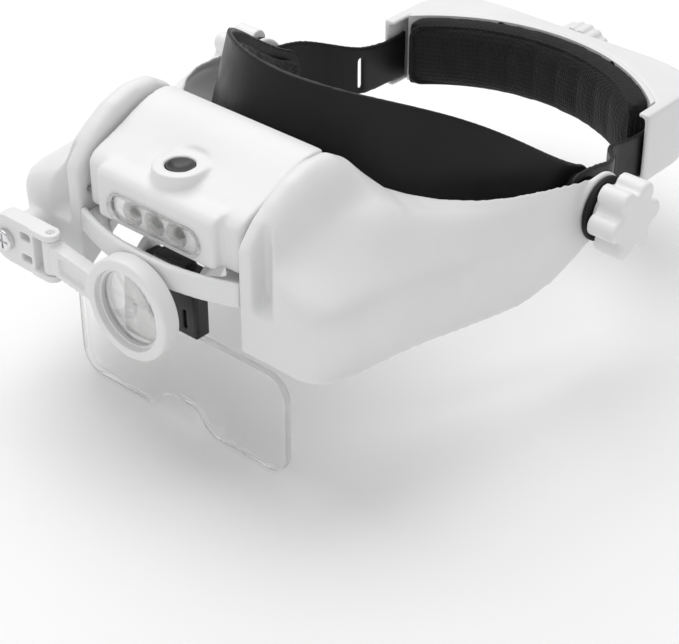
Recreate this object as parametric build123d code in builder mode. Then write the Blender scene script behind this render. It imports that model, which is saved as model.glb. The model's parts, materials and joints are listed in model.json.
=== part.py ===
"""Head visor magnifier: a headband, a tilting visor with a lamp, a lens plate, a swing-out loupe and a
size dial at the back. Millimetres. +X is the wearer's left, -Y is forward, +Z is up. The origin is the
middle of the headband loop, where the head sits."""

import os
from math import atan2, cos, pi, radians, sin, sqrt, tan

from build123d import *

os.makedirs("parts", exist_ok=True)

# ---- driving dimensions -------------------------------------------------------------------------------
PIVOT_Y = -2.0  # tilt axis of the visor, along X
PIVOT_Z = 7.0
RUN = 0.06  # radial running clearance of a pin in its hole
SIDES = (("left", 1), ("right", -1))

# headband: a leaning elliptical wall, wider and deeper at its lower edge
BAND_WALL = 2.0
BAND_LOW_Z = -20.0
BAND_LOW = (81.1, 114.0)  # half width and half depth at BAND_LOW_Z
BAND_HIGH_Z = 66.0
BAND_HIGH = (72.2, 79.2)
PAD_THICK = 6.0
KNOB_LOBE_CIRCLE = 11.4
KNOB_LOBE_RADIUS = 4.5
BAND_END_RADIUS = 12.6  # rounded ends of the band about the pivot
BOSS_RADIUS = 9.0
BOSS_END_X = 84.4
BUSH_RADIUS = 5.0
BUSH_END_X = 90.7
SCREW_RADIUS = 2.5
NUT_FLATS = 8.0

# side straps, running straight back into the rear housing
STRAP_WALL = 2.0
STRAP_FRONT_X = 81.4
STRAP_REAR_X = 67.0
STRAP_END_Y = 70.0
STRAP_END_RADIUS = 13.0
STRAP_STRAIGHT_Y = 44.0

# visor shell
SHELL_WALL = 2.4
FRONT_Y = -150.0
EAR_X = 90.2
EAR_RADIUS = 14.0
RAIL_IN_X = 40.3
PANEL_LOW_Z = -7.6
LAMP_PIN_Y = -144.0
LAMP_PIN_Z = 27.0
LAMP_PIN_RADIUS = 1.2
LOUPE_X = -64.0  # pivot screw of the loupe bracket
LOUPE_Z = 6.0
LOUPE_BOSS_Y = -158.8

# front bridge
BAR_BOW = 8.3
BAR_DEPTH = 3.0
BAR_LOW_Z = 11.5
BAR_TOP_Z = 21.5
SHELF_TOP_Z = 19.0
SHELF_LOW_Z = 16.6

# lens holder and plate
LENS_Y = -141.0
HOLDER_PIN_Z = 8.0
HOLDER_PIN_RADIUS = 1.5
HOLDER_HALF = 13.0
HOLDER_DEPTH = 7.2
PLATE_TOP_Z = -17.0
PLATE_WIDTH = 110.0
PLATE_HEIGHT = 44.0
PLATE_THICK = 3.0
TAB_WIDTH = 20.4
TAB_HEIGHT = 11.0

# lamp
LAMP_HALF = 38.5
BEZEL_HALF = 30.0
LAMP_WALL = 2.0
LAMP_FRONT_Y = -150.6
LAMP_REAR_Y = -102.0
LAMP_LOW_Z = 23.0
BUTTON_Y = -136.0
SEAT_TOP_Z = 49.0
SEAT_RADIUS = 10.5
BUTTON_RADIUS = 5.3
WINDOW_Z = 30.2
WINDOW_LENGTH = 47.0
WINDOW_HEIGHT = 12.0
LED_PITCH = 11.2
CELL_RADIUS = 5.25
CELL_LENGTH = 43.3
CELL_PLACES = ((-122.0, 41.0), (-110.9, 43.5))  # y and z of the two AAA cells

# loupe
LOUPE_Y = -163.0  # middle plane of the bracket, arm and ring
LOUPE_DEPTH = 8.0
HINGE_X = -42.5
HINGE_PIN_RADIUS = 1.5
RING_Z = 1.5
RING_RADIUS = 20.3
LENS_RADIUS = 15.9

# rear unit
REAR_Z = -1.0  # height of the dial axis
REAR_ARC_Y = 10.0  # centre of the arcs that the pad and the inner shell follow
REAR_LOW_Z = -17.5
REAR_TOP_Z = 14.5
INNER_SHELL_R = (88.2, 90.2)
REAR_PAD_R = (80.5, 87.9)
REAR_BACK_Y = 107.3
REAR_SIDE_X = 71.0
REAR_INNER_X = 65.3
REAR_FRONT_Y = 60.0
REAR_WALL = 2.3
GEAR_MODULE = 0.8
GEAR_TEETH = 16
PITCH_RADIUS = GEAR_MODULE * GEAR_TEETH / 2
RACK_Y = (101.2, 103.0)
DIAL_RADIUS = 16.0


def finish(piece, label):
    """Names a finished piece and writes its STEP file."""
    piece.part.label = label
    export_step(piece.part, f"parts/{label}.step")


def band_size(z, inset):
    """Half width and half depth of the headband's wall at a height, moved in by an inset."""
    t = (z - BAND_LOW_Z) / (BAND_HIGH_Z - BAND_LOW_Z)
    return tuple(low + (high - low) * t - inset for low, high in zip(BAND_LOW, BAND_HIGH))


def band_cone(inset, mode):
    """Adds or takes away the leaning elliptical cone of the headband, moved in by an inset."""
    with BuildSketch(Plane.XY.offset(BAND_LOW_Z)) as low:
        Ellipse(*band_size(BAND_LOW_Z, inset))
    with BuildSketch(Plane.XY.offset(BAND_HIGH_Z)) as high:
        Ellipse(*band_size(BAND_HIGH_Z, inset))
    loft(sections=[low.sketch, high.sketch], mode=mode)


def keep_side_profile(top, end_radius, low, front):
    """Cuts the part to a side view: smooth top and lower edges joined by a round end about the pivot. The
    (y, z) points of both edges run from the front end, at a distance y, to that round end."""
    with BuildSketch(Plane.YZ) as profile:
        with BuildLine():
            turn = -1 if top[-1][0] > front else 1
            rim = [
                (PIVOT_Y + turn * end_radius * cos(angle), PIVOT_Z + end_radius * sin(angle))
                for angle in (radians(105), radians(180), radians(255))
            ]
            Spline((front, top[0][1]), *top, rim[0])
            ThreePointArc(*rim)
            Spline((front, low[0][1]), *low, rim[2])
            Line((front, top[0][1]), (front, low[0][1]))
        make_face()
    extrude(profile.sketch, amount=130, both=True, mode=Mode.INTERSECT)


def x_rod(x_from, x_to, y, z, radius, mode=Mode.ADD):
    """A round rod along X between two values of x."""
    with Locations(Location(((x_from + x_to) / 2, y, z), (0, 90, 0))):
        Cylinder(radius, abs(x_to - x_from), mode=mode)


def y_rod(y_from, y_to, x, z, radius, mode=Mode.ADD):
    """A round rod along Y between two values of y."""
    with Locations(Location((x, (y_from + y_to) / 2, z), (90, 0, 0))):
        Cylinder(radius, abs(y_to - y_from), mode=mode)


def z_rod(z_from, z_to, x, y, radius, mode=Mode.ADD):
    """A round rod along Z between two values of z."""
    with Locations((x, y, (z_from + z_to) / 2)):
        Cylinder(radius, abs(z_to - z_from), mode=mode)


def block(low, high, mode=Mode.ADD):
    """A box between its lowest and its highest corner."""
    centre = tuple((a + b) / 2 for a, b in zip(low, high))
    with Locations(centre):
        Box(*(b - a for a, b in zip(low, high)), mode=mode)


def prism(plane, points, amount):
    """A straight prism on a plane, kept apart from the part that is being built."""
    with BuildSketch(plane) as outline:
        with BuildLine():
            Polyline(*points, close=True)
        make_face()
    return extrude(outline.sketch, amount=amount, mode=Mode.PRIVATE)


def inset_path(points, distance):
    """An open outline moved to its right-hand side by a distance, with mitred corners."""
    normals = []
    for (x0, z0), (x1, z1) in zip(points, points[1:]):
        length = sqrt((x1 - x0) ** 2 + (z1 - z0) ** 2)
        normals.append(((z1 - z0) / length, -(x1 - x0) / length))
    moved = []
    for i, (x, z) in enumerate(points):
        first = normals[max(i - 1, 0)]
        second = normals[min(i, len(normals) - 1)]
        mx, mz = first[0] + second[0], first[1] + second[1]
        scale = 2 * distance / (mx * mx + mz * mz)
        moved.append((x + mx * scale, z + mz * scale))
    return moved


# ---- headband -----------------------------------------------------------------------------------------
BAND_TOP = [(-86, 64.5), (-62, 58.5), (-40, 47.0), (-20, 33.0)]
BAND_FOOT = [(-85, 14.5), (-50, 2.5), (-25, -4.0)]
PAD_TOP = [(-86, 61.0), (-62, 55.0), (-40, 43.5), (-20, 29.5)]
PAD_FOOT = [(-85, 18.0), (-50, 6.0), (-25, -0.5)]

with BuildPart() as headband_front:
    band_cone(0, Mode.ADD)
    keep_side_profile(BAND_TOP, BAND_END_RADIUS, BAND_FOOT, -120)
    for _, side in SIDES:
        x_rod(side * 74, side * BOSS_END_X, PIVOT_Y, PIVOT_Z, BOSS_RADIUS)
        x_rod(side * BOSS_END_X, side * BUSH_END_X, PIVOT_Y, PIVOT_Z, BUSH_RADIUS)
    band_cone(BAND_WALL, Mode.SUBTRACT)
    for _, side in SIDES:
        x_rod(side * 70, side * 92, PIVOT_Y, PIVOT_Z, SCREW_RADIUS + RUN, Mode.SUBTRACT)
        # pocket for the captive nut, open towards the head
        with BuildSketch(Plane.YZ.offset(side * 77.5)):
            with Locations((PIVOT_Y, PIVOT_Z)):
                RegularPolygon(NUT_FLATS / 2 + 0.1, 6, major_radius=False)
        extrude(amount=5.1, both=True, mode=Mode.SUBTRACT)
finish(headband_front, "headband_front")

with BuildPart() as forehead_pad:
    band_cone(BAND_WALL + 0.3, Mode.ADD)
    band_cone(BAND_WALL + 0.3 + PAD_THICK, Mode.SUBTRACT)
    keep_side_profile(PAD_TOP, BAND_END_RADIUS - 3.5, PAD_FOOT, -120)
finish(forehead_pad, "forehead_pad")

STRAP_TOP = [(52, 6.5), (STRAP_STRAIGHT_Y, 8.0), (22, 14.5)]
STRAP_FOOT = [(52, -14.9), (STRAP_STRAIGHT_Y, -14.4), (22, -9.5)]
for name, side in SIDES:
    with BuildPart() as strap:
        with BuildSketch(Plane.XY.offset(-30)):
            with BuildLine() as route:
                Line((side * STRAP_FRONT_X, PIVOT_Y - 15), (side * STRAP_FRONT_X, 12))
                Spline(
                    (side * STRAP_FRONT_X, 12),
                    (side * STRAP_REAR_X, STRAP_STRAIGHT_Y),
                    tangents=((0, 1), (0, 1)),
                )
                Line((side * STRAP_REAR_X, STRAP_STRAIGHT_Y), (side * STRAP_REAR_X, STRAP_END_Y))
            trace(line_width=STRAP_WALL)
        extrude(amount=60)
        keep_side_profile(STRAP_TOP, STRAP_END_RADIUS, STRAP_FOOT, STRAP_END_Y)
        x_rod(side * 70, side * 90, PIVOT_Y, PIVOT_Z, BOSS_RADIUS, Mode.SUBTRACT)
        # a hanging slot and a small notch near the housing
        block((side * 69 - 5, 38.0, -11.0), (side * 69 + 5, 40.5, 4.0), Mode.SUBTRACT)
        block((side * 69 - 5, 32.6, -20.0), (side * 69 + 5, 33.6, -10.0), Mode.SUBTRACT)
    finish(strap, f"strap_{name}")

    with BuildPart() as pivot_nut:
        with BuildSketch(Plane.YZ.offset(side * 80.8)):
            with Locations((PIVOT_Y, PIVOT_Z)):
                RegularPolygon(NUT_FLATS / 2, 6, major_radius=False)
        extrude(amount=1.75, both=True)
        x_rod(side * 70, side * 92, PIVOT_Y, PIVOT_Z, SCREW_RADIUS + RUN, Mode.SUBTRACT)
    finish(pivot_nut, f"pivot_nut_{name}")

    with BuildPart() as pivot_washer:
        x_rod(side * 90.7, side * 92.9, PIVOT_Y, PIVOT_Z, 13.2)
        fillet(pivot_washer.edges(), 0.6)
        x_rod(side * 88, side * 95, PIVOT_Y, PIVOT_Z, SCREW_RADIUS + RUN, Mode.SUBTRACT)
    finish(pivot_washer, f"pivot_washer_{name}")

    # star knob with six rounded lobes, on its own threaded stud
    with BuildPart() as knob:
        with BuildSketch(Plane.YZ.offset(side * 95.0)):
            with Locations((PIVOT_Y, PIVOT_Z)):
                Circle(KNOB_LOBE_CIRCLE)
                with PolarLocations(KNOB_LOBE_CIRCLE, 6):
                    Circle(KNOB_LOBE_RADIUS)
            fillet(vertices(), 1.5)
        extrude(amount=side * 12.6)
        x_rod(side * 93.2, side * 95.2, PIVOT_Y, PIVOT_Z, 10.5)
        fillet(faces().filter_by(Axis.X).sort_by(Axis.X)[-1 if side > 0 else 0].edges(), 1.6)
        x_rod(side * 93, side * 103, PIVOT_Y, PIVOT_Z, SCREW_RADIUS, Mode.SUBTRACT)
    finish(knob, f"knob_{name}")

    with BuildPart() as knob_stud:
        x_rod(side * 79.5, side * 103, PIVOT_Y, PIVOT_Z, SCREW_RADIUS)
        chamfer(knob_stud.edges().group_by(Axis.X)[0 if side > 0 else -1], 0.6)
    finish(knob_stud, f"knob_stud_{name}")

# ---- visor shell --------------------------------------------------------------------------------------
# Each row: y, then (x, z) of the upper edge, the outer edge of the rail, the crest, the ridge between the
# top and the side face, and the lower edge. The rail arches up beside the lamp and becomes the rim.
WING = [
    (-150.0, (40.3, 36.5), (46.5, 36.5), (56.0, 23.0), (66.0, 17.0), (68.5, -6.0)),
    (-149.2, (40.3, 38.0), (47.0, 38.0), (56.5, 26.5), (70.0, 19.5), (72.0, -6.0)),
    (-147.0, (40.3, 41.0), (48.0, 40.3), (57.0, 29.5), (74.0, 21.5), (75.8, -6.0)),
    (-143.0, (40.3, 45.5), (49.0, 43.5), (57.5, 31.5), (77.0, 22.5), (78.8, -6.0)),
    (-137.0, (40.3, 50.0), (50.0, 47.0), (58.5, 33.5), (78.8, 22.5), (80.6, -6.0)),
    (-128.0, (40.3, 55.5), (51.0, 51.5), (59.8, 36.0), (79.6, 21.8), (81.6, -6.5)),
    (-118.0, (40.3, 58.5), (52.0, 53.5), (61.0, 38.5), (80.3, 20.6), (82.3, -7.0)),
    (-108.0, (40.3, 58.0), (52.5, 52.5), (62.0, 40.6), (81.0, 19.2), (83.0, -8.0)),
    (-100.0, (40.3, 53.0), (52.8, 48.5), (62.8, 40.8), (81.6, 18.0), (83.6, -9.0)),
    (-94.0, (41.0, 46.0), (53.2, 44.0), (63.8, 38.5), (82.2, 17.0), (84.2, -9.8)),
    (-88.0, (47.0, 38.6), (55.6, 38.6), (65.0, 35.0), (82.6, 15.8), (84.8, -10.8)),
    (-80.0, (56.0, 34.6), (61.4, 34.0), (68.6, 31.4), (83.4, 14.8), (85.6, -12.0)),
    (-71.0, (64.5, 31.6), (68.2, 30.8), (73.0, 28.4), (84.4, 13.8), (86.6, -13.2)),
    (-60.0, (74.0, 29.8), (76.2, 28.8), (79.0, 26.6), (86.0, 13.0), (87.8, -14.6)),
    (-48.0, (80.5, 28.4), (82.0, 27.2), (83.6, 25.0), (87.8, 12.5), (89.2, -15.6)),
    (-32.0, (84.5, 26.0), (85.6, 24.6), (86.8, 22.4), (89.2, 12.0), (90.0, -14.0)),
    (-18.0, (86.6, 23.4), (87.4, 22.0), (88.2, 20.0), (89.8, 11.5), (EAR_X, -10.2)),
    (-6.0, (87.7, 21.0), (88.2, 19.8), (88.8, 18.0), (90.0, 11.0), (EAR_X, -6.0)),
]
RAIL_END_Y = -93.0  # in front of it the rail has an inner wall beside the lamp


def between(a, b, share):
    """A point at a share of the way from a to b."""
    return tuple(p + share * (q - p) for p, q in zip(a, b))


def wing_line(top, edge, crest, ridge, foot):
    """Points of one wing section from its upper edge to its lower edge, with soft turns."""
    hollow = min((edge[1] - crest[1]) / 12.0, 1.0) ** 2
    dish = between(edge, crest, 0.68)
    dish = (dish[0] - 0.5 * hollow, dish[1] - 1.8 * hollow)
    crown = (between(top, edge, 0.45)[0], top[1])
    upper = between(crest, ridge, 0.72)
    turn = between(between(crest, ridge, 0.93), between(ridge, foot, 0.12), 0.5)
    side = between(ridge, foot, 0.35)
    return [between(top, (top[0], foot[1]), 0.03), crown, edge, dish, crest, upper, turn, side, foot]


def wing_body(rows, inset, mode):
    """Adds or takes away the solid body under the wing's sections, moved in by an inset."""
    sections = []
    for y, *row in rows:
        line = wing_line(*row)
        low_z = line[-1][1]
        if inset:
            start_x = RAIL_IN_X + inset if y < RAIL_END_Y else row[0][0] - 6
            inner = inset_path(line[1:], inset)
            line = [(start_x, inner[0][1]), *inner[1:]]
            low_z -= 8
        with BuildSketch(Plane.XZ.offset(-y)) as section:
            with BuildLine():
                Spline(*line)
                Polyline(line[-1], (line[-1][0], low_z - 0.5), (line[0][0], low_z - 0.5), line[0])
            make_face()
        sections.append(section.sketch)
    loft(sections=sections, ruled=True, mode=mode)


with BuildPart() as visor_shell:
    wing_body(WING, 0, Mode.ADD)
    # solid corner behind the notch that sets the post apart from the wing
    corner_plan = [(44.7, -148), (44.7, -139.8), (51.5, -139.8), (59, -148)]
    corner = prism(Plane.XY.offset(8.0), corner_plan, 50) & visor_shell.part
    last = WING[-1]
    wing_body([*WING[2:], (last[0] + 3, *last[1:])], SHELL_WALL, Mode.SUBTRACT)
    add(corner)
    notch_side = [(-152, 11.0), (-142, 18.0), (-142, 60), (-152, 60)]
    notch_plan = [(46.6, -152), (46.6, -142), (49.6, -142), (58.6, -152)]
    add(prism(Plane.YZ.offset(46.6), notch_side, 14) & prism(Plane.XY, notch_plan, 60), mode=Mode.SUBTRACT)
    # the inner wall of the rail stops above the wearer's eyes
    wall_foot = [
        (-90, 36), (-98, 36), (-112, 24), (-128, 8), (-147.2, PANEL_LOW_Z), (-147.2, -40), (-90, -40),
    ]
    add(prism(Plane.YZ.offset(RAIL_IN_X - 1), wall_foot, SHELL_WALL + 2), mode=Mode.SUBTRACT)
    # ear around the tilt pivot
    x_rod(EAR_X - SHELL_WALL - 0.3, EAR_X + 0.2, PIVOT_Y, PIVOT_Z, EAR_RADIUS)
    mirror(about=Plane.YZ)
    # crown behind the lamp, leaning with the headband
    with BuildSketch(Plane.YZ.offset(-RAIL_IN_X - 1)):
        with BuildLine():
            Polyline((-101.6, 32), (-98.6, 32), (-93.2, 45.0), (-94.4, 46.5), (-96.4, 45.5), close=True)
        make_face()
    extrude(amount=2 * (RAIL_IN_X + 1))
    # boss for the loupe bracket
    y_rod(LOUPE_BOSS_Y, FRONT_Y + SHELL_WALL, LOUPE_X, LOUPE_Z, 6.5)
    y_rod(LOUPE_BOSS_Y - 1, FRONT_Y + 6, LOUPE_X, LOUPE_Z, SCREW_RADIUS, Mode.SUBTRACT)
    x_rod(-95, 95, PIVOT_Y, PIVOT_Z, BUSH_RADIUS + RUN, Mode.SUBTRACT)
    x_rod(-44, 44, LAMP_PIN_Y, LAMP_PIN_Z, LAMP_PIN_RADIUS, Mode.SUBTRACT)
    x_rod(-44, 44, -144.0, 14.0, 1.1, Mode.SUBTRACT)
finish(visor_shell, "visor_shell")

with BuildPart() as lamp_pins:
    for _, side in SIDES:
        x_rod(side * 34.5, side * 44, LAMP_PIN_Y, LAMP_PIN_Z, LAMP_PIN_RADIUS)
finish(lamp_pins, "lamp_pins")

# ---- front bridge: bowed bar, shelf with a six-sided opening, lugs for the lens holder -------------------
BAR_END = RAIL_IN_X - 0.05
HATCH_FRONT_Y = -152.0
HATCH_REAR_Y = -137.5
with BuildPart() as front_bridge:
    with BuildSketch(Plane.XY.offset(BAR_LOW_Z)):
        with BuildLine():
            ThreePointArc((-BAR_END, FRONT_Y), (0, FRONT_Y - BAR_BOW), (BAR_END, FRONT_Y))
            Line((BAR_END, FRONT_Y), (BAR_END, FRONT_Y + BAR_DEPTH))
            ThreePointArc(
                (BAR_END, FRONT_Y + BAR_DEPTH),
                (0, FRONT_Y - BAR_BOW + BAR_DEPTH),
                (-BAR_END, FRONT_Y + BAR_DEPTH),
            )
            Line((-BAR_END, FRONT_Y + BAR_DEPTH), (-BAR_END, FRONT_Y))
        make_face()
    extrude(amount=BAR_TOP_Z - BAR_LOW_Z)
    with BuildSketch(Plane.XY.offset(SHELF_LOW_Z)):
        with BuildLine():
            ThreePointArc(
                (-BAR_END, FRONT_Y + BAR_DEPTH - 0.5),
                (0, FRONT_Y - BAR_BOW + BAR_DEPTH - 0.5),
                (BAR_END, FRONT_Y + BAR_DEPTH - 0.5),
            )
            Polyline(
                (BAR_END, FRONT_Y + BAR_DEPTH - 0.5), (BAR_END, -130.5), (-BAR_END, -130.5),
                (-BAR_END, FRONT_Y + BAR_DEPTH - 0.5),
            )
        make_face()
        with BuildLine():
            Polyline(
                (-30, -145), (-20, HATCH_FRONT_Y), (20, HATCH_FRONT_Y), (30, -145),
                (22, HATCH_REAR_Y), (-22, HATCH_REAR_Y), close=True,
            )
        make_face(mode=Mode.SUBTRACT)
    extrude(amount=SHELF_TOP_Z - SHELF_LOW_Z)
    for _, side in SIDES:
        with BuildSketch(Plane.YZ.offset(side * 14.3)):
            with BuildLine():
                Polyline(
                    (-144.5, 4.5), (-138.5, 4.5), (-131, 12), (-131, SHELF_LOW_Z + 0.2),
                    (-137.6, SHELF_LOW_Z + 0.2), (-144.5, 11.5), close=True,
                )
            make_face()
        extrude(amount=side * 3.0)
        # end block that takes the side screw
        block(
            (min(side * 32, side * BAR_END), -147.5, 11.5),
            (max(side * 32, side * BAR_END), -140.5, SHELF_LOW_Z + 0.1),
        )
    x_rod(-20, 20, LENS_Y, HOLDER_PIN_Z, HOLDER_PIN_RADIUS, Mode.SUBTRACT)
    for _, side in SIDES:
        x_rod(side * 34, side * 42, -144.0, 14.0, 1.1, Mode.SUBTRACT)
finish(front_bridge, "front_bridge")

with BuildPart() as bridge_screws:
    for _, side in SIDES:
        x_rod(side * 34.2, side * 42.75, -144.0, 14.0, 1.1)
        x_rod(side * 42.7, side * 44.4, -144.0, 14.0, 2.2)
finish(bridge_screws, "bridge_screws")

with BuildPart() as holder_pin:
    x_rod(-17.3, 17.3, LENS_Y, HOLDER_PIN_Z, HOLDER_PIN_RADIUS)
finish(holder_pin, "holder_pin")

# ---- lens holder and lens plate -------------------------------------------------------------------------
HOLDER_LOW_Z = PLATE_TOP_Z + 0.2
with BuildPart() as lens_holder:
    block(
        (-HOLDER_HALF, LENS_Y - HOLDER_DEPTH / 2, HOLDER_LOW_Z),
        (HOLDER_HALF, LENS_Y + HOLDER_DEPTH / 2, 11.0),
    )
    block((-8.0, LENS_Y - HOLDER_DEPTH / 2, 10.0), (8.0, LENS_Y + HOLDER_DEPTH / 2, 13.0))
    chamfer(lens_holder.edges().filter_by(Axis.Z), 0.8)
    x_rod(-20, 20, LENS_Y, HOLDER_PIN_Z, HOLDER_PIN_RADIUS + RUN, Mode.SUBTRACT)
    block(
        (-10.35, LENS_Y - 1.65, -30), (10.35, LENS_Y + 1.65, PLATE_TOP_Z + TAB_HEIGHT + 0.3), Mode.SUBTRACT
    )
    for _, side in SIDES:
        block(
            (side * 7.2 - 1.0, LENS_Y - 10, HOLDER_LOW_Z + 3.0),
            (side * 7.2 + 1.0, LENS_Y, HOLDER_LOW_Z + 11.0),
            Mode.SUBTRACT,
        )
finish(lens_holder, "lens_holder")

NOSE_HALF = 18.5
NOSE_HEIGHT = 9.5
PLATE_LOW_Z = PLATE_TOP_Z - PLATE_HEIGHT
with BuildPart() as lens_plate:
    with BuildSketch(Plane.XZ.offset(-LENS_Y - PLATE_THICK / 2)):
        with Locations((0, PLATE_TOP_Z - PLATE_HEIGHT / 2)):
            RectangleRounded(PLATE_WIDTH, PLATE_HEIGHT, 10.0)
        with BuildLine():
            Spline(
                (-NOSE_HALF, PLATE_LOW_Z),
                (-9.0, PLATE_LOW_Z + 0.78 * NOSE_HEIGHT),
                (0, PLATE_LOW_Z + NOSE_HEIGHT),
                (9.0, PLATE_LOW_Z + 0.78 * NOSE_HEIGHT),
                (NOSE_HALF, PLATE_LOW_Z),
                tangents=((1, 0.25), (1, -0.25)),
            )
            Polyline(
                (NOSE_HALF, PLATE_LOW_Z), (NOSE_HALF, PLATE_LOW_Z - 2),
                (-NOSE_HALF, PLATE_LOW_Z - 2), (-NOSE_HALF, PLATE_LOW_Z),
            )
        make_face(mode=Mode.SUBTRACT)
        with Locations((0, PLATE_TOP_Z + TAB_HEIGHT / 2 - 1)):
            Rectangle(TAB_WIDTH, TAB_HEIGHT + 2)
    extrude(amount=PLATE_THICK)
finish(lens_plate, "lens_plate")

# ---- lamp -----------------------------------------------------------------------------------------------
# The top climbs from the front, steepest beside the button, and levels out at the back.
LAMP_TOP = [
    (-147.5, 42.5), (-141, 44.2), (-133, 47.2), (-124, 51.2), (-115, 54.6), (-107.5, 55.6), (-102, 54.2),
]


def lamp_block(front, rear, low, drop, half, mode):
    """Adds or takes away a block with the lamp's side outline, lowered by a drop, and a given half width."""
    first, last = LAMP_TOP[0], LAMP_TOP[-1]
    top = [(y, z - drop) for y, z in LAMP_TOP[1:-1] if front + 4 < y < rear - 2]
    nose = (front, first[1] - 2.5 - drop)
    tail = (rear, (last[1] if rear > -110 else top[-1][1] + 1.0) - drop)
    with BuildSketch(Plane.YZ) as profile:
        with BuildLine():
            Line((front, low), nose)
            Spline(nose, (front + 2.5, first[1] - drop), *top, tail)
            Polyline(tail, (rear, low), (front, low))
        make_face()
    extrude(profile.sketch, amount=half, both=True, mode=mode)


with BuildPart() as lamp_cover:
    lamp_block(-146.6, LAMP_REAR_Y, LAMP_LOW_Z, 0, LAMP_HALF, Mode.ADD)
    fillet(lamp_cover.edges().filter_by(Axis.Z), 2.5)
    lamp_block(LAMP_FRONT_Y, -130, LAMP_LOW_Z, 0, BEZEL_HALF, Mode.ADD)
    fillet(lamp_cover.edges().filter_by(Axis.Z).group_by(Axis.Y)[0], 2.0)
    z_rod(SEAT_TOP_Z - 10, SEAT_TOP_Z, 0, BUTTON_Y, SEAT_RADIUS)
    z_rod(SEAT_TOP_Z, SEAT_TOP_Z + 9, 0, BUTTON_Y, SEAT_RADIUS, Mode.SUBTRACT)
    lamp_block(
        -146.6 + LAMP_WALL, LAMP_REAR_Y - LAMP_WALL, LAMP_LOW_Z - 1, LAMP_WALL, LAMP_HALF - LAMP_WALL,
        Mode.SUBTRACT,
    )
    lamp_block(
        LAMP_FRONT_Y + LAMP_WALL, -130, LAMP_LOW_Z - 1, LAMP_WALL + 1, BEZEL_HALF - LAMP_WALL, Mode.SUBTRACT
    )
    # button seat: a level disc with a hole, thick enough to carry the button's flange from below
    z_rod(40, 46.9, 0, BUTTON_Y, 8.0, Mode.SUBTRACT)
    z_rod(46.9, SEAT_TOP_Z, 0, BUTTON_Y, SEAT_RADIUS)
    z_rod(40, SEAT_TOP_Z + 1, 0, BUTTON_Y, BUTTON_RADIUS + 0.3, Mode.SUBTRACT)
    # lamp window opening and the pivot holes
    with BuildSketch(Plane.XZ.offset(-LAMP_FRONT_Y + 1)):
        with Locations((0, WINDOW_Z)):
            SlotOverall(WINDOW_LENGTH - 3, WINDOW_HEIGHT - 2.4)
    extrude(amount=-5, mode=Mode.SUBTRACT)
    x_rod(-40, 40, LAMP_PIN_Y, LAMP_PIN_Z, LAMP_PIN_RADIUS + RUN, Mode.SUBTRACT)
finish(lamp_cover, "lamp_cover")

DOOR_HALF = 26.0
DOOR_Y = (-129.0, -106.0)
BASE_TOP_Z = LAMP_LOW_Z + 2.0
with BuildPart() as lamp_base:
    block(
        (-LAMP_HALF + LAMP_WALL + 0.15, -141.0, LAMP_LOW_Z),
        (LAMP_HALF - LAMP_WALL - 0.15, LAMP_REAR_Y - LAMP_WALL - 0.15, BASE_TOP_Z),
    )
    # walls of the battery tray, standing on the base
    for y in (-129.6, -105.5):
        block((-29, y - 0.8, BASE_TOP_Z - 0.5), (29, y + 0.8, 34.0))
    for _, side in SIDES:
        block((side * 28.4 - 0.8, -129.6, BASE_TOP_Z - 0.5), (side * 28.4 + 0.8, -105.5, 34.0))
        z_rod(BASE_TOP_Z - 0.5, 40, side * 33.0, -134.0, 2.6)
    block((-DOOR_HALF - 0.2, DOOR_Y[0] - 0.2, 20), (DOOR_HALF + 0.2, DOOR_Y[1] + 0.2, 30), Mode.SUBTRACT)
    for _, side in SIDES:
        z_rod(20, 38, side * 33.0, -134.0, 1.1, Mode.SUBTRACT)
finish(lamp_base, "lamp_base")

with BuildPart() as lamp_screws:
    for _, side in SIDES:
        z_rod(LAMP_LOW_Z - 1.4, LAMP_LOW_Z, side * 33.0, -134.0, 2.2)
        z_rod(LAMP_LOW_Z - 0.1, 37, side * 33.0, -134.0, 1.1)
finish(lamp_screws, "lamp_screws")

with BuildPart() as battery_door:
    block((-DOOR_HALF, DOOR_Y[0], LAMP_LOW_Z), (DOOR_HALF, DOOR_Y[1], BASE_TOP_Z))
    chamfer(battery_door.edges().filter_by(Axis.Z), 1.0)
    with GridLocations(30, 3, 1, 4):
        with Locations((0, sum(DOOR_Y) / 2, LAMP_LOW_Z)):
            Box(24, 1.0, 1.0, mode=Mode.SUBTRACT)
finish(battery_door, "battery_door")

with BuildPart() as lamp_window:
    with BuildSketch(Plane.XZ.offset(-LAMP_FRONT_Y)):
        with Locations((0, WINDOW_Z)):
            SlotOverall(WINDOW_LENGTH, WINDOW_HEIGHT)
    extrude(amount=1.2)
    with BuildSketch(Plane.XZ.offset(-LAMP_FRONT_Y)):
        with Locations((0, WINDOW_Z)):
            SlotOverall(WINDOW_LENGTH - 3.3, WINDOW_HEIGHT - 2.7)
    extrude(amount=-1.6)
    fillet(lamp_window.faces().sort_by(Axis.Y)[0].edges(), 0.5)
finish(lamp_window, "lamp_window")

CUP_FRONT_Y = LAMP_FRONT_Y + LAMP_WALL + 0.1
CUP_DEPTH = 5.0
with BuildPart() as led_reflector:
    block((-20.5, CUP_FRONT_Y, WINDOW_Z - 5.2), (20.5, CUP_FRONT_Y + CUP_DEPTH, WINDOW_Z + 5.2))
    for i in (-1, 0, 1):
        with BuildSketch(Plane.XZ.offset(-CUP_FRONT_Y)):
            with Locations((i * LED_PITCH, WINDOW_Z)):
                Circle(4.9)
        with BuildSketch(Plane.XZ.offset(-CUP_FRONT_Y - CUP_DEPTH)):
            with Locations((i * LED_PITCH, WINDOW_Z)):
                Circle(2.7)
        loft(mode=Mode.SUBTRACT)
finish(led_reflector, "led_reflector")

BOARD_Y = CUP_FRONT_Y + CUP_DEPTH + 0.1
with BuildPart() as led_board:
    block((-20.5, BOARD_Y, WINDOW_Z - 5.0), (20.5, BOARD_Y + 1.0, WINDOW_Z + 5.0))
finish(led_board, "led_board")

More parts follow.
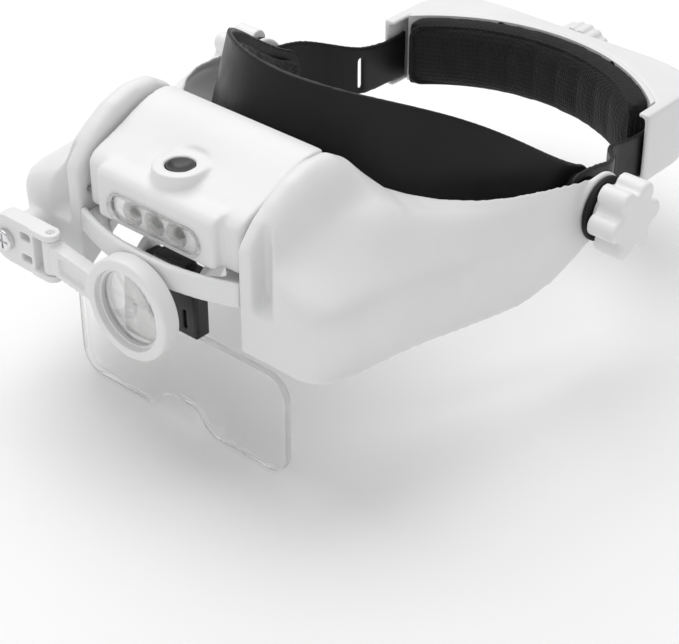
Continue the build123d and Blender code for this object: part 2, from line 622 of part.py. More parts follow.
with BuildPart() as leds:
    for i in (-1, 0, 1):
        y_rod(BOARD_Y, BOARD_Y - 3.0, i * LED_PITCH, WINDOW_Z, 2.4)
        with Locations((i * LED_PITCH, BOARD_Y - 3.0, WINDOW_Z)):
            Sphere(2.4)
finish(leds, "leds")

with BuildPart() as power_button:
    z_rod(45.6, 48.4, 0, BUTTON_Y, BUTTON_RADIUS)
    z_rod(45.6, 46.5, 0, BUTTON_Y, 7.0)
    z_rod(43.0, 45.8, 0, BUTTON_Y, 1.5)
    with Locations((0, BUTTON_Y, 48.4 + 11.0)):
        Sphere(12.0, mode=Mode.SUBTRACT)
finish(power_button, "power_button")

with BuildPart() as power_switch:
    block((-3.5, BUTTON_Y - 3.5, 37.8), (3.5, BUTTON_Y + 3.5, 41.5))
finish(power_switch, "power_switch")

with BuildPart() as switch_board:
    block((-12, BUTTON_Y - 5.0, 36.4), (12, BUTTON_Y + 6.0, 37.8))
finish(switch_board, "switch_board")

for name, (y, z), turn in (("front", CELL_PLACES[0], 1), ("rear", CELL_PLACES[1], -1)):
    with BuildPart() as battery:
        x_rod(-turn * 22.2, turn * (CELL_LENGTH - 22.2), y, z, CELL_RADIUS)
        fillet(battery.edges(), 0.6)
        x_rod(turn * (CELL_LENGTH - 22.3), turn * (CELL_LENGTH - 21.1), y, z, 1.9)
    finish(battery, f"battery_{name}")

PLATE_X = 26.4
with BuildPart() as contact_plates:
    for _, side in SIDES:
        block((side * PLATE_X - 0.3, -127.0, 34.5), (side * PLATE_X + 0.3, -106.5, 46.5))
finish(contact_plates, "contact_plates")

with BuildPart() as contact_springs:
    for (y, z), turn in ((CELL_PLACES[0], 1), (CELL_PLACES[1], -1)):
        start = -turn * (PLATE_X - 0.7)
        for i in range(3):
            with Locations(Location((start + turn * i * 1.25, y, z), (0, 90, 0))):
                Torus(3.6 - 0.5 * i, 0.35)
finish(contact_springs, "contact_springs")

# ---- loupe ----------------------------------------------------------------------------------------------
BRACKET_Y = (LOUPE_Y - 3.6, LOUPE_Y + 3.6)
EAR_LOW = (LOUPE_Z - 10.0, LOUPE_Z - 7.4)
EAR_HIGH = (LOUPE_Z + 7.4, LOUPE_Z + 10.0)
with BuildPart() as loupe_bracket:
    with BuildSketch(Plane.XZ.offset(-BRACKET_Y[1])):
        with BuildLine():
            ThreePointArc((LOUPE_X, LOUPE_Z + 10), (LOUPE_X - 10, LOUPE_Z), (LOUPE_X, LOUPE_Z - 10))
            Polyline((LOUPE_X, LOUPE_Z - 10), (-49, LOUPE_Z - 10), (-49, LOUPE_Z + 10))
            Line((-49, LOUPE_Z + 10), (LOUPE_X, LOUPE_Z + 10))
        make_face()
        with Locations((-53.6, LOUPE_Z + 4.6), (-53.6, LOUPE_Z - 4.6)):
            Rectangle(5.6, 3.0, mode=Mode.SUBTRACT)
    extrude(amount=BRACKET_Y[1] - BRACKET_Y[0])
    for low, high in (EAR_LOW, EAR_HIGH):
        block((-50, LOUPE_Y - 4.2, low), (HINGE_X, LOUPE_Y + 3.6, high))
        z_rod(low, high, HINGE_X, LOUPE_Y - 0.3, 3.9)
        z_rod(low - 1, high + 1, HINGE_X, LOUPE_Y, HINGE_PIN_RADIUS, Mode.SUBTRACT)
    y_rod(BRACKET_Y[0] - 1, BRACKET_Y[1] + 1, LOUPE_X, LOUPE_Z, SCREW_RADIUS + RUN, Mode.SUBTRACT)
finish(loupe_bracket, "loupe_bracket")

with BuildPart() as loupe_hinge_pin:
    z_rod(EAR_LOW[0], EAR_HIGH[1], HINGE_X, LOUPE_Y, HINGE_PIN_RADIUS)
finish(loupe_hinge_pin, "loupe_hinge_pin")

with BuildPart() as loupe_screw:
    y_rod(FRONT_Y + 4, BRACKET_Y[0] - 0.2, LOUPE_X, LOUPE_Z, SCREW_RADIUS)
    y_rod(BRACKET_Y[0] - 0.15, BRACKET_Y[0] - 2.4, LOUPE_X, LOUPE_Z, 4.3)
    fillet(loupe_screw.faces().sort_by(Axis.Y)[0].edges(), 0.7)
    for half_x, half_z in ((3.2, 0.5), (0.5, 3.2)):
        block(
            (LOUPE_X - half_x, BRACKET_Y[0] - 4, LOUPE_Z - half_z),
            (LOUPE_X + half_x, BRACKET_Y[0] - 1.4, LOUPE_Z + half_z),
            Mode.SUBTRACT,
        )
finish(loupe_screw, "loupe_screw")

ARM_HALF = 3.0
with BuildPart() as loupe_arm:
    y_rod(LOUPE_Y - LOUPE_DEPTH / 2, LOUPE_Y + LOUPE_DEPTH / 2, 0, RING_Z, RING_RADIUS)
    fillet(loupe_arm.edges().filter_by(GeomType.CIRCLE), 1.2)
    with BuildSketch(Plane.XZ.offset(-LOUPE_Y - ARM_HALF)):
        with BuildLine():
            Polyline((HINGE_X, 0.2), (-17, -3.6), (-17, 8.4), (HINGE_X, 12.2), close=True)
        make_face()
    extrude(amount=2 * ARM_HALF)
    z_rod(LOUPE_Z - 7.1, LOUPE_Z + 7.1, HINGE_X, LOUPE_Y, 3.6)
    y_rod(-170, -150, 0, RING_Z, LENS_RADIUS - 1.1, Mode.SUBTRACT)
    y_rod(LOUPE_Y - 5, LOUPE_Y + 2.6, 0, RING_Z, LENS_RADIUS + 0.1, Mode.SUBTRACT)
    for face_y, depth in ((LOUPE_Y - ARM_HALF, 1.4), (LOUPE_Y + ARM_HALF, -1.4)):
        with BuildSketch(Plane.XZ.offset(-face_y)):
            with BuildLine():
                Polyline((-36, 2.0), (-22.5, -0.2), (-22.5, 6.4), (-36, 8.6), close=True)
            make_face()
        extrude(amount=-depth, mode=Mode.SUBTRACT)
    z_rod(-10, 20, HINGE_X, LOUPE_Y, HINGE_PIN_RADIUS + RUN, Mode.SUBTRACT)
finish(loupe_arm, "loupe_arm")

LENS_BACK_Y = LOUPE_Y + 2.5
LENS_EDGE = 2.4
BULGE = 1.3
FACE_RADIUS = LENS_RADIUS - 1.3
SPHERE_RADIUS = (FACE_RADIUS**2 + BULGE**2) / (2 * BULGE)
HALF_WAY = FACE_RADIUS / 2
HALF_BULGE = BULGE - SPHERE_RADIUS + sqrt(SPHERE_RADIUS**2 - HALF_WAY**2)
with BuildPart() as loupe_lens:
    with BuildSketch(Plane.XY.offset(RING_Z)):
        with BuildLine():
            Line((0, LENS_BACK_Y - LENS_EDGE - BULGE), (0, LENS_BACK_Y + BULGE))
            ThreePointArc(
                (0, LENS_BACK_Y + BULGE), (HALF_WAY, LENS_BACK_Y + HALF_BULGE), (FACE_RADIUS, LENS_BACK_Y)
            )
            Polyline(
                (FACE_RADIUS, LENS_BACK_Y), (LENS_RADIUS, LENS_BACK_Y),
                (LENS_RADIUS, LENS_BACK_Y - LENS_EDGE), (FACE_RADIUS, LENS_BACK_Y - LENS_EDGE),
            )
            ThreePointArc(
                (FACE_RADIUS, LENS_BACK_Y - LENS_EDGE),
                (HALF_WAY, LENS_BACK_Y - LENS_EDGE - HALF_BULGE),
                (0, LENS_BACK_Y - LENS_EDGE - BULGE),
            )
        make_face()
    revolve(axis=Axis((0, 0, RING_Z), (0, 1, 0)))
finish(loupe_lens, "loupe_lens")

RETAINER_Y = LENS_BACK_Y - LENS_EDGE - 0.1
with BuildPart() as loupe_retainer:
    y_rod(RETAINER_Y - 1.6, RETAINER_Y, 0, RING_Z, LENS_RADIUS + 0.05)
    y_rod(RETAINER_Y - 3, RETAINER_Y + 1, 0, RING_Z, LENS_RADIUS - 1.1, Mode.SUBTRACT)
finish(loupe_retainer, "loupe_retainer")

# ---- rear unit ------------------------------------------------------------------------------------------


def arc_band(radii, half_width):
    """Draws the stretch between two arcs about the rear arc centre, cut off at a half width."""
    points = []
    for radius in radii:
        y = REAR_ARC_Y + sqrt(radius**2 - half_width**2)
        points.append(((-half_width, y), (0, REAR_ARC_Y + radius), (half_width, y)))
    (a, b, c), (d, e, f) = points
    with BuildLine() as outline:
        ThreePointArc(a, b, c)
        Line(c, f)
        ThreePointArc(f, e, d)
        Line(d, a)
    make_face(outline.edges())


def housing_plan(wall):
    """Draws the plan of the rear housing, moved in by a wall thickness."""
    side_x = REAR_SIDE_X - wall
    back_y = REAR_BACK_Y - wall
    inner_r = INNER_SHELL_R[1] + 0.05 if wall == 0 else INNER_SHELL_R[0]
    inner_x = REAR_INNER_X
    inner_y = REAR_ARC_Y + sqrt(inner_r**2 - inner_x**2)
    front_y = REAR_FRONT_Y if wall == 0 else REAR_FRONT_Y - 5
    with BuildLine() as outline:
        Line((-40, back_y), (40, back_y))
        Spline((40, back_y), (side_x, 80), tangents=((1, 0), (0, -1)))
        Polyline((side_x, 80), (side_x, front_y), (inner_x, front_y), (inner_x, inner_y))
        ThreePointArc((inner_x, inner_y), (0, REAR_ARC_Y + inner_r), (-inner_x, inner_y))
        Polyline((-inner_x, inner_y), (-inner_x, front_y), (-side_x, front_y), (-side_x, 80))
        Spline((-side_x, 80), (-40, back_y), tangents=((0, 1), (1, 0)))
    make_face(outline.edges())


REAR_SCREWS = [(side * 30.0, REAR_Z + up * 12.7) for _, side in SIDES for up in (1, -1)]
SCREW_SEAT_Y = 94.2
with BuildPart() as rear_shell_outer:
    with BuildSketch(Plane.XY.offset(REAR_LOW_Z)):
        housing_plan(0)
    extrude(amount=REAR_TOP_Z - REAR_LOW_Z)
    with BuildSketch(Plane.XY.offset(REAR_LOW_Z + 2)):
        housing_plan(REAR_WALL)
    extrude(amount=REAR_TOP_Z - REAR_LOW_Z - 4, mode=Mode.SUBTRACT)
    for x, z in REAR_SCREWS:
        y_rod(96.2, REAR_BACK_Y - 1, x, z, 2.0)
        y_rod(90, 103.2, x, z, 1.15, Mode.SUBTRACT)
    y_rod(95, 110, 0, REAR_Z, 4.0 + RUN, Mode.SUBTRACT)
finish(rear_shell_outer, "rear_shell_outer")

with BuildPart() as rear_shell_inner:
    with BuildSketch(Plane.XY.offset(REAR_LOW_Z)):
        arc_band(INNER_SHELL_R, REAR_INNER_X - 0.5)
    extrude(amount=REAR_TOP_Z - REAR_LOW_Z)
    for x, z in REAR_SCREWS:
        y_rod(90, 97, x, z, 1.1, Mode.SUBTRACT)
        y_rod(90, SCREW_SEAT_Y, x, z, 2.3, Mode.SUBTRACT)
finish(rear_shell_inner, "rear_shell_inner")

with BuildPart() as rear_screws:
    for x, z in REAR_SCREWS:
        y_rod(SCREW_SEAT_Y - 0.6, SCREW_SEAT_Y, x, z, 2.2)
        y_rod(SCREW_SEAT_Y - 0.1, 103.0, x, z, 1.1)
finish(rear_screws, "rear_screws")

with BuildPart() as rear_pad:
    with BuildSketch(Plane.XY.offset(REAR_LOW_Z + 0.5)):
        arc_band(REAR_PAD_R, 61.0)
    extrude(amount=REAR_TOP_Z - REAR_LOW_Z - 1.0)
finish(rear_pad, "rear_pad")


def tooth_point(radius, offset, base_radius, half_at_base):
    """A point of an involute flank, where offset is the angle of the tooth's middle."""
    roll = sqrt(max((radius / base_radius) ** 2 - 1, 0))
    turn = roll - atan2(roll, 1)
    angle = offset + half_at_base - turn if half_at_base > 0 else offset + half_at_base + turn
    return (radius * sin(angle), radius * cos(angle))


PRESSURE = radians(20)
BACKLASH = 0.16
ADDENDUM = 0.85 * GEAR_MODULE
DEDENDUM = 1.15 * GEAR_MODULE
HALF_TOOTH = pi * GEAR_MODULE / 4 - BACKLASH / 2


def pinion_outline():
    """Closed outline of the dial's pinion, in points about its axis."""
    base = PITCH_RADIUS * cos(PRESSURE)
    half = HALF_TOOTH / PITCH_RADIUS + tan(PRESSURE) - PRESSURE
    root = PITCH_RADIUS - DEDENDUM
    radii = [base + (PITCH_RADIUS + ADDENDUM - base) * i / 4 for i in range(5)]
    outline = []
    for tooth in range(GEAR_TEETH):
        middle = 2 * pi * (tooth + 0.5) / GEAR_TEETH
        outline.append((root * sin(middle - half), root * cos(middle - half)))
        outline += [tooth_point(r, middle, base, -half) for r in radii]
        outline += [tooth_point(r, middle, base, half) for r in reversed(radii)]
        outline.append((root * sin(middle + half), root * cos(middle + half)))
    return outline


with BuildPart() as dial_pinion:
    with BuildSketch(Plane.XZ.offset(-RACK_Y[0] + 0.4)):
        with BuildLine():
            Polyline(*[(x, z + REAR_Z) for x, z in pinion_outline()], close=True)
        make_face()
    extrude(amount=-(RACK_Y[1] - RACK_Y[0] + 0.6))
    y_rod(103.2, 108.2, 0, REAR_Z, 4.0)
    y_rod(95, 110, 0, REAR_Z, 1.5, Mode.SUBTRACT)
finish(dial_pinion, "dial_pinion")

with BuildPart() as size_dial:
    with BuildSketch(Plane.XZ.offset(-REAR_BACK_Y - 0.6)):
        with Locations((0, REAR_Z)):
            Circle(DIAL_RADIUS)
            with PolarLocations(DIAL_RADIUS + 1.2, 20):
                Circle(2.0, mode=Mode.SUBTRACT)
    extrude(amount=-9.0)
    chamfer(size_dial.faces().sort_by(Axis.Y)[-1].edges(), 0.6)
    y_rod(100, 108.2, 0, REAR_Z, 4.0, Mode.SUBTRACT)
    y_rod(100, 130, 0, REAR_Z, 1.5, Mode.SUBTRACT)
    y_rod(114.4, 130, 0, REAR_Z, 3.2, Mode.SUBTRACT)
finish(size_dial, "size_dial")

with BuildPart() as dial_screw:
    y_rod(101.6, 114.4, 0, REAR_Z, 1.5)
    y_rod(114.4, 116.2, 0, REAR_Z, 3.0)
finish(dial_screw, "dial_screw")

RACK_PITCH = pi * GEAR_MODULE
RACK_SPAN = (-10.0, 34.0)
RACK_BODY = 3.2
for name, side in SIDES:
    pitch_z = REAR_Z + side * PITCH_RADIUS
    with BuildPart() as rack:
        with BuildSketch(Plane.XZ.offset(-RACK_Y[0])):
            root_z = pitch_z + side * DEDENDUM
            with Locations((side * sum(RACK_SPAN) / 2, root_z + side * RACK_BODY / 2)):
                Rectangle(RACK_SPAN[1] - RACK_SPAN[0], RACK_BODY)
            # a tooth stands in each gap of the pinion, whose gaps lie at whole pitches from x = 0
            for i in range(-3, 13):
                x = side * i * RACK_PITCH
                tip = HALF_TOOTH - ADDENDUM * tan(PRESSURE)
                foot = HALF_TOOTH + (DEDENDUM + 0.1) * tan(PRESSURE)
                with BuildLine():
                    Polyline(
                        (x - tip, pitch_z - side * ADDENDUM), (x + tip, pitch_z - side * ADDENDUM),
                        (x + foot, root_z + side * 0.1), (x - foot, root_z + side * 0.1), close=True,
                    )
                make_face()
        extrude(amount=-(RACK_Y[1] - RACK_Y[0]))
    finish(rack, f"rack_{name}")
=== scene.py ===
"""Looks of the head visor magnifier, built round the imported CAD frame. Metres."""

import json
import math

import bmesh
import bpy
from mathutils import Matrix, Vector


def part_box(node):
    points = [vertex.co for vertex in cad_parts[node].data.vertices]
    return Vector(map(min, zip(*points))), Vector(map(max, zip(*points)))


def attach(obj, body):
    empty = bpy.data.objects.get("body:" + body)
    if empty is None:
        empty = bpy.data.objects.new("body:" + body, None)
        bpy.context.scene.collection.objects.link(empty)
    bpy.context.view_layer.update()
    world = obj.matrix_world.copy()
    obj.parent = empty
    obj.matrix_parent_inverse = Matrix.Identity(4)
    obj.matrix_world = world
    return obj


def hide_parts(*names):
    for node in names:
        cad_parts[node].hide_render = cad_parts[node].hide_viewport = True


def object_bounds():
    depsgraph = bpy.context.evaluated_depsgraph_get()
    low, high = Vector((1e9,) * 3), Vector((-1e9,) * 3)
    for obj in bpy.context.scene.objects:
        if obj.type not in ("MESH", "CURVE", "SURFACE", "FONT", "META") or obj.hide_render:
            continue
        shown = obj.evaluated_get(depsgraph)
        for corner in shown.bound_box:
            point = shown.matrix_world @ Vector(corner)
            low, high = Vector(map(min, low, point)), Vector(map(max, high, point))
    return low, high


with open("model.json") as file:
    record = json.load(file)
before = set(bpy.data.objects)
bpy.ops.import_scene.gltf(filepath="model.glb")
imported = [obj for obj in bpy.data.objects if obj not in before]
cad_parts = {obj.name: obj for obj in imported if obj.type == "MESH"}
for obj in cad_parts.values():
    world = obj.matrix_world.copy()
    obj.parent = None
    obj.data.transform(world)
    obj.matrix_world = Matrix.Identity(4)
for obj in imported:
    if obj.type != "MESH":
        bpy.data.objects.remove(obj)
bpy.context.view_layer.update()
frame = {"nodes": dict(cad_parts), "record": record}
nodes = frame["nodes"]
body_of_node = {n: b for b, members in frame["record"]["behaviour"]["bodies"].items() for n in members}
slot_of_node = {s["node"]: s["material_slot"] for s in frame["record"]["subparts"]}

# Camera, aimed from the front, the wearer's left and above
AZIMUTH = math.radians(41.35)
ELEVATION = math.radians(34.0)
CAMERA_PLACE = Vector((0.4281, -0.5373, 0.3753))
LENS_LENGTH = 100.05
SENSOR_WIDTH = 36.0

# Rear pad
REAR_ARC_Y = 0.010  # centre of the arc that the rear pad follows
REAR_PAD_RADIUS = 0.0803  # of the rear pad's face
REAR_PAD_HALF = 0.0658  # from the middle of the rear pad's face to its end, along the arc
REAR_PAD_FACE_DEPTH = 0.0035  # behind the face, how far the plumping reaches
PAD_PLUMP = 0.0032
PIPING_RADIUS = 0.0011
PIPING_CORNER = 0.005
PIPING_STEP = 0.004
PIPING_LIFT = 0.0022  # from the pad's lower edge
PIPING_DROP = 0.0016  # from the pad's upper edge

# Foam pads
CLOTH_FRAMES = 20
FOAM_PRESSURE = 6.0

# Studio
FLOOR_HALF = 3.0
FLOOR_GAP = 0.001
SKY_STRENGTH = 0.6


# ---- camera ---------------------------------------------------------------------------------------------
def add_camera():
    back = Vector((
        math.sin(AZIMUTH) * math.cos(ELEVATION),
        -math.cos(AZIMUTH) * math.cos(ELEVATION),
        math.sin(ELEVATION),
    ))
    right = Vector((math.cos(AZIMUTH), math.sin(AZIMUTH), 0))
    up = back.cross(right)
    data = bpy.data.cameras.new("camera")
    data.lens = LENS_LENGTH
    data.sensor_width = SENSOR_WIDTH
    data.clip_start = 0.01
    camera = bpy.data.objects.new("camera", data)
    rotation = Matrix((right, up, back)).transposed().to_4x4()
    camera.matrix_world = Matrix.Translation(CAMERA_PLACE) @ rotation
    bpy.context.scene.collection.objects.link(camera)
    bpy.context.scene.camera = camera


# ---- materials ------------------------------------------------------------------------------------------
def new_material(name):
    material = bpy.data.materials.new(name)
    material.use_nodes = True
    tree = material.node_tree
    shader = tree.nodes["Principled BSDF"]
    return material, tree, shader


def add_node(tree, kind, **values):
    """A shader node with its properties, and its inputs by name, set."""
    node = tree.nodes.new(kind)
    for key, value in values.items():
        if hasattr(node, key):
            setattr(node, key, value)
        else:
            node.inputs[key.replace("_", " ")].default_value = value
    return node


def object_coordinates(tree):
    return add_node(tree, "ShaderNodeTexCoord").outputs["Object"]


def noise_of(tree, coordinates, scale, detail=4.0, roughness=0.55):
    noise = add_node(tree, "ShaderNodeTexNoise", Scale=scale, Detail=detail, Roughness=roughness)
    tree.links.new(coordinates, noise.inputs["Vector"])
    return noise.outputs["Fac"]


def ramp_of(tree, factor, *stops):
    """A colour ramp with (position, colour) stops."""
    ramp = add_node(tree, "ShaderNodeValToRGB")
    elements = ramp.color_ramp.elements
    elements[0].position, elements[0].color = stops[0][0], (*stops[0][1], 1)
    elements[1].position, elements[1].color = stops[-1][0], (*stops[-1][1], 1)
    for position, colour in stops[1:-1]:
        elements.new(position).color = (*colour, 1)
    tree.links.new(factor, ramp.inputs["Fac"])
    return ramp.outputs["Color"]


def bump_of(tree, height, strength, distance, normal=None):
    bump = add_node(tree, "ShaderNodeBump", Strength=strength, Distance=distance)
    tree.links.new(height, bump.inputs["Height"])
    if normal is not None:
        tree.links.new(normal, bump.inputs["Normal"])
    return bump.outputs["Normal"]


def moulded_plastic(name, dark, light, rough=(0.34, 0.44), grain=0.12, shine=0.5):
    """Satin moulded plastic: faint flow marks in the colour, a fine spark-eroded grain, rubbed spots."""
    material, tree, shader = new_material(name)
    where = object_coordinates(tree)
    flow = noise_of(tree, where, 22.0, 5.0)
    tree.links.new(ramp_of(tree, flow, (0.35, dark), (0.65, light)), shader.inputs["Base Color"])
    spread = noise_of(tree, where, 90.0, 3.0)
    low, high = ((value,) * 3 for value in rough)
    tree.links.new(ramp_of(tree, spread, (0.3, low), (0.7, high)), shader.inputs["Roughness"])
    fine = noise_of(tree, where, 2600.0, 2.0)
    slow = noise_of(tree, where, 60.0, 2.0)
    waviness = bump_of(tree, slow, 0.06, 0.0006)
    tree.links.new(bump_of(tree, fine, grain, 0.00006, waviness), shader.inputs["Normal"])
    shader.inputs["Specular IOR Level"].default_value = shine
    return material


def clear_plastic(name, tint, roughness=0.03, alpha=1.0):
    material, tree, shader = new_material(name)
    where = object_coordinates(tree)
    haze = noise_of(tree, where, 45.0, 3.0)
    low, high = (roughness,) * 3, (roughness * 2.2,) * 3
    tree.links.new(ramp_of(tree, haze, (0.4, low), (0.75, high)), shader.inputs["Roughness"])
    ripple = noise_of(tree, where, 35.0, 1.0)
    tree.links.new(bump_of(tree, ripple, 0.03, 0.0004), shader.inputs["Normal"])
    shader.inputs["Base Color"].default_value = (*tint, 1)
    shader.inputs["Transmission Weight"].default_value = 1.0
    shader.inputs["IOR"].default_value = 1.49
    shader.inputs["Alpha"].default_value = alpha
    return material


def metal(name, colour, rough=(0.18, 0.32), scratch=260.0):
    material, tree, shader = new_material(name)
    where = object_coordinates(tree)
    marks = noise_of(tree, where, scratch, 6.0, 0.7)
    dark = tuple(0.8 * c for c in colour)
    tree.links.new(ramp_of(tree, marks, (0.35, dark), (0.6, colour)), shader.inputs["Base Color"])
    low, high = ((value,) * 3 for value in rough)
    tree.links.new(ramp_of(tree, marks, (0.3, low), (0.7, high)), shader.inputs["Roughness"])
    tree.links.new(bump_of(tree, marks, 0.1, 0.00005), shader.inputs["Normal"])
    shader.inputs["Metallic"].default_value = 1.0
    return material


def air_mesh(name):
    """Black spacer mesh: staggered open cells in a knitted face, their insides painted darker as shade,
    with a fine thread grain.
    """
    material, tree, shader = new_material(name)
    where = object_coordinates(tree)
    stretch = add_node(tree, "ShaderNodeMapping")
    stretch.inputs["Scale"].default_value = (1.0, 1.0, 0.55)
    tree.links.new(where, stretch.inputs["Vector"])
    cells = add_node(tree, "ShaderNodeTexVoronoi", Scale=900.0, Randomness=0.3)
    tree.links.new(stretch.outputs["Vector"], cells.inputs["Vector"])
    holes = cells.outputs["Distance"]
    # painted shade: the open cells are coloured darker than the threads round them, for the shade inside
    # the holes
    colour = ramp_of(tree, holes, (0.1, (0.002, 0.002, 0.002)), (0.45, (0.010, 0.010, 0.011)))
    tree.links.new(colour, shader.inputs["Base Color"])
    thread = noise_of(tree, where, 3000.0, 3.0)
    knit = bump_of(tree, holes, 0.9, 0.0006)
    tree.links.new(bump_of(tree, thread, 0.25, 0.0001, knit), shader.inputs["Normal"])
    shader.inputs["Roughness"].default_value = 0.75
    shader.inputs["Specular IOR Level"].default_value = 0.25
    shader.inputs["Sheen Weight"].default_value = 0.06
    shader.inputs["Sheen Roughness"].default_value = 0.5
    return material


def make_materials():
    white = moulded_plastic("shell_white", (0.78, 0.78, 0.785), (0.82, 0.82, 0.825))
    return {
        "shell_white": white,
        "knob_white": moulded_plastic("knob_white", (0.80, 0.80, 0.80), (0.84, 0.84, 0.84), (0.3, 0.4)),
        "band_black": moulded_plastic(
            "band_black", (0.007, 0.007, 0.008), (0.012, 0.012, 0.013), (0.34, 0.46), 0.16, 0.24
        ),
        "pad_mesh": air_mesh("pad_mesh"),
        "holder_black": moulded_plastic(
            "holder_black", (0.006, 0.006, 0.006), (0.011, 0.011, 0.011), (0.24, 0.36), 0.08, 0.4
        ),
        "washer_rubber": moulded_plastic(
            "washer_rubber", (0.006, 0.006, 0.006), (0.010, 0.010, 0.010), (0.5, 0.7), 0.2, 0.3
        ),
        "steel": metal("steel", (0.6, 0.6, 0.61)),
        "chrome_screw": metal("chrome_screw", (0.78, 0.78, 0.79), (0.08, 0.18)),
        "brass_nut": metal("brass_nut", (0.72, 0.55, 0.25)),
        "clear_lens": clear_plastic("clear_lens", (0.99, 0.985, 0.98), 0.02, 0.6),
        "reflector": metal("reflector", (0.88, 0.88, 0.89), (0.1, 0.16), 120.0),
        "led_dome": clear_plastic("led_dome", (0.97, 0.96, 0.88), 0.08),
        "board_green": moulded_plastic("board_green", (0.03, 0.16, 0.07), (0.05, 0.22, 0.1), (0.3, 0.4)),
        "gear_grey": moulded_plastic("gear_grey", (0.42, 0.42, 0.42), (0.5, 0.5, 0.5)),
        "cell_jacket": moulded_plastic("cell_jacket", (0.1, 0.13, 0.17), (0.16, 0.2, 0.25), (0.2, 0.3)),
    }


# ---- mesh work ------------------------------------------------------------------------------------------
def applied(obj):
    """Bakes the object's modifiers into its mesh."""
    bpy.context.view_layer.update()
    graph = bpy.context.evaluated_depsgraph_get()
    mesh = bpy.data.meshes.new_from_object(obj.evaluated_get(graph))
    obj.modifiers.clear()
    obj.data = mesh
    for polygon in mesh.polygons:
        polygon.use_smooth = True
    return obj


def softened(node, voxel, rounds, factor=0.5):
    """A new piece in a CAD node's place, remeshed and smoothed so that its edges are moulded soft."""
    obj = bpy.data.objects.new(node + "_moulded", nodes[node].data.copy())
    bpy.context.scene.collection.objects.link(obj)
    weld = obj.modifiers.new("weld", "WELD")
    weld.merge_threshold = 0.00001
    remesh = obj.modifiers.new("remesh", "REMESH")
    remesh.mode = "VOXEL"
    remesh.voxel_size = voxel
    smooth = obj.modifiers.new("smooth", "SMOOTH")
    smooth.factor = factor
    smooth.iterations = rounds
    applied(obj)
    dress(obj, node)
    return obj


def dress(obj, node):
    """Gives a new piece the material, slot and body of the CAD node that it stands for."""
    slot = slot_of_node[node]
    obj.data.materials.clear()
    obj.data.materials.append(materials[slot])
    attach(obj, body_of_node[node])
    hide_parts(node)


# voxel size and smoothing rounds of each remeshed piece
SOFTENED = {
    "visor_shell": (0.0006, 34),
    "front_bridge": (0.0008, 6),
    "lamp_cover": (0.0007, 16),
    "loupe_arm": (0.0005, 5),
    "loupe_bracket": (0.0005, 5),
    "knob_left": (0.0005, 6),
    "knob_right": (0.0005, 6),
    "rear_shell_outer": (0.0008, 12),
    "headband_front": (0.0006, 8),
    "strap_left": (0.0007, 4),
    "strap_right": (0.0007, 4),
    "size_dial": (0.0005, 4),
    "lens_plate": (0.0006, 3),
    "lens_holder": (0.0004, 3),
}


# ---- pads ------------------------------------------------------------------------------------------------
def rounded_loop(half, low, high, corner):
    """Points round a rectangle with rounded corners, closely spaced along the long runs."""
    centres = [(half, high), (-half, high), (-half, low), (half, low)]
    loop = []
    for quarter, (u, z) in enumerate(centres):
        u -= math.copysign(corner, u)
        z += corner if z == low else -corner
        turns = [math.pi / 2 * (quarter + step / 6) for step in range(7)]
        loop += [(u + corner * math.cos(turn), z + corner * math.sin(turn)) for turn in turns]
    spaced = []
    for a, b in zip(loop, loop[1:] + loop[:1]):
        parts = max(1, round(math.dist(a, b) / PIPING_STEP))
        for k in range(parts):
            spaced.append((a[0] + (b[0] - a[0]) * k / parts, a[1] + (b[1] - a[1]) * k / parts))
    return spaced


def piping(radius, centre_y, half, low, high):
    """The sewn tube round the face of a pad that follows a cylinder about a vertical line."""
    data = bpy.data.curves.new("piping", "CURVE")
    data.dimensions = "3D"
    data.bevel_depth = PIPING_RADIUS
    data.bevel_resolution = 3
    loop = rounded_loop(half, low, high, PIPING_CORNER)
    spline = data.splines.new("POLY")
    spline.points.add(len(loop) - 1)
    spline.use_cyclic_u = True
    for point, (u, z) in zip(spline.points, loop):
        turn = u / radius
        point.co = (radius * math.sin(turn), centre_y + radius * math.cos(turn), z, 1)
    return bpy.data.meshes.new_from_object(bpy.data.objects.new("piping", data))


def plump(obj, low, high):
    """Rounds the face of the rear pad towards the head, most in the middle of its height and length."""
    for vertex in obj.data.vertices:
        across = Vector((vertex.co.x, vertex.co.y - REAR_ARC_Y, 0))
        if across.length > REAR_PAD_RADIUS + REAR_PAD_FACE_DEPTH:
            continue
        up = (2 * vertex.co.z - low - high) / (high - low)
        along = math.atan2(across.x, across.y) * REAR_PAD_RADIUS / REAR_PAD_HALF
        swell = max(0.0, 1 - up**4) * max(0.0, 1 - along**8)
        vertex.co -= across.normalized() * PAD_PLUMP * swell


def sewn_on(obj, extra):
    """Joins a second mesh to the piece."""
    mesh = bmesh.new()
    mesh.from_mesh(obj.data)
    mesh.from_mesh(extra)
    mesh.to_mesh(obj.data)
    mesh.free()
    for polygon in obj.data.polygons:
        polygon.use_smooth = True


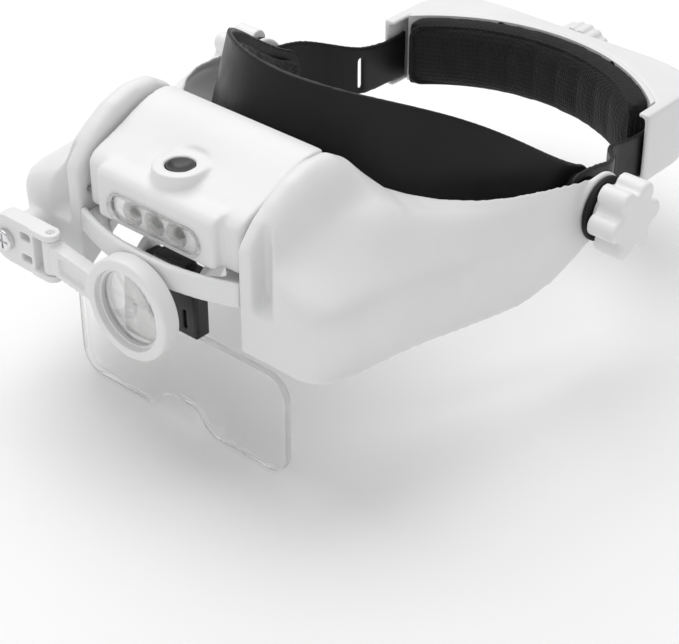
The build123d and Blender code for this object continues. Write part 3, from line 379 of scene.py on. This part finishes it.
def pad_from(node, voxel, offset, grow):
    """A foam pad: the CAD solid remeshed, moved out by the offset, swollen by a short cloth simulation
    that moves it by at most grow, and smoothed.
    """
    obj = bpy.data.objects.new(node + "_foam", nodes[node].data.copy())
    bpy.context.scene.collection.objects.link(obj)
    remesh = obj.modifiers.new("remesh", "REMESH")
    remesh.mode = "VOXEL"
    remesh.voxel_size = voxel
    grown = obj.modifiers.new("grown", "DISPLACE")
    grown.strength = offset
    grown.mid_level = 0.0
    applied(obj)
    start = [v.co.copy() for v in obj.data.vertices]
    cloth = obj.modifiers.new("cloth", "CLOTH")
    cloth.settings.use_pressure = True
    cloth.settings.uniform_pressure_force = FOAM_PRESSURE
    cloth.settings.effector_weights.gravity = 0.0
    scene = bpy.context.scene
    scene.frame_start, scene.frame_end = 1, CLOTH_FRAMES
    for step in range(1, CLOTH_FRAMES + 1):
        scene.frame_set(step)
    applied(obj)
    scene.frame_set(1)
    for vertex, rest in zip(obj.data.vertices, start):
        move = vertex.co - rest
        if move.length > grow:
            vertex.co = rest + move * (grow / move.length)
    smooth = obj.modifiers.new("smooth", "SMOOTH")
    smooth.iterations = 3
    divide = obj.modifiers.new("divide", "SUBSURF")
    divide.levels = 1
    applied(obj)
    dress(obj, node)
    return obj


def add_rear_pad():
    """The rear pad, plumped towards the head and edged with a sewn tube."""
    pad = pad_from("rear_pad", 0.0022, 0.0006, 0.0028)
    low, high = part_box("rear_pad")
    plump(pad, low.z, high.z)
    edge = piping(REAR_PAD_RADIUS, REAR_ARC_Y, REAR_PAD_HALF, low.z + PIPING_LIFT, high.z - PIPING_DROP)
    sewn_on(pad, edge)


# ---- studio ---------------------------------------------------------------------------------------------
def add_area(name, place, target, size, power):
    data = bpy.data.lights.new(name, "AREA")
    data.size = size
    data.energy = power
    light = bpy.data.objects.new(name, data)
    light.location = place
    light.rotation_euler = (Vector(target) - Vector(place)).to_track_quat("-Z", "Y").to_euler()
    bpy.context.scene.collection.objects.link(light)


def add_studio():
    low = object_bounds()[0]
    mesh = bpy.data.meshes.new("floor")
    z = low.z - FLOOR_GAP
    half = FLOOR_HALF
    corners = [(-half, -half, z), (half, -half, z), (half, half, z), (-half, half, z)]
    mesh.from_pydata(corners, [], [(0, 1, 2, 3)])
    floor = bpy.data.objects.new("floor", mesh)
    bpy.context.scene.collection.objects.link(floor)
    material, _, shader = new_material("floor_paper")
    shader.inputs["Base Color"].default_value = (0.96, 0.96, 0.96, 1)
    shader.inputs["Roughness"].default_value = 0.9
    mesh.materials.append(material)
    world = bpy.data.worlds.new("studio")
    world.use_nodes = True
    background = world.node_tree.nodes["Background"]
    background.inputs["Color"].default_value = (1, 1, 1, 1)
    background.inputs["Strength"].default_value = SKY_STRENGTH
    bpy.context.scene.world = world
    add_area("key", (-0.5, 0.15, 1.05), (0, -0.03, 0), 1.2, 9.6)
    add_area("fill", (0.5, -1.1, 0.5), (0, -0.05, 0), 1.0, 1.0)
    bpy.context.scene.view_settings.view_transform = "Standard"


add_camera()
materials = make_materials()
for node, obj in nodes.items():
    obj.data.materials.clear()
    obj.data.materials.append(materials[slot_of_node[node]])
for node, (voxel, rounds) in SOFTENED.items():
    softened(node, voxel, rounds)
pad_from("forehead_pad", 0.0025, -0.0006, 0.0012)
add_rear_pad()
add_studio()
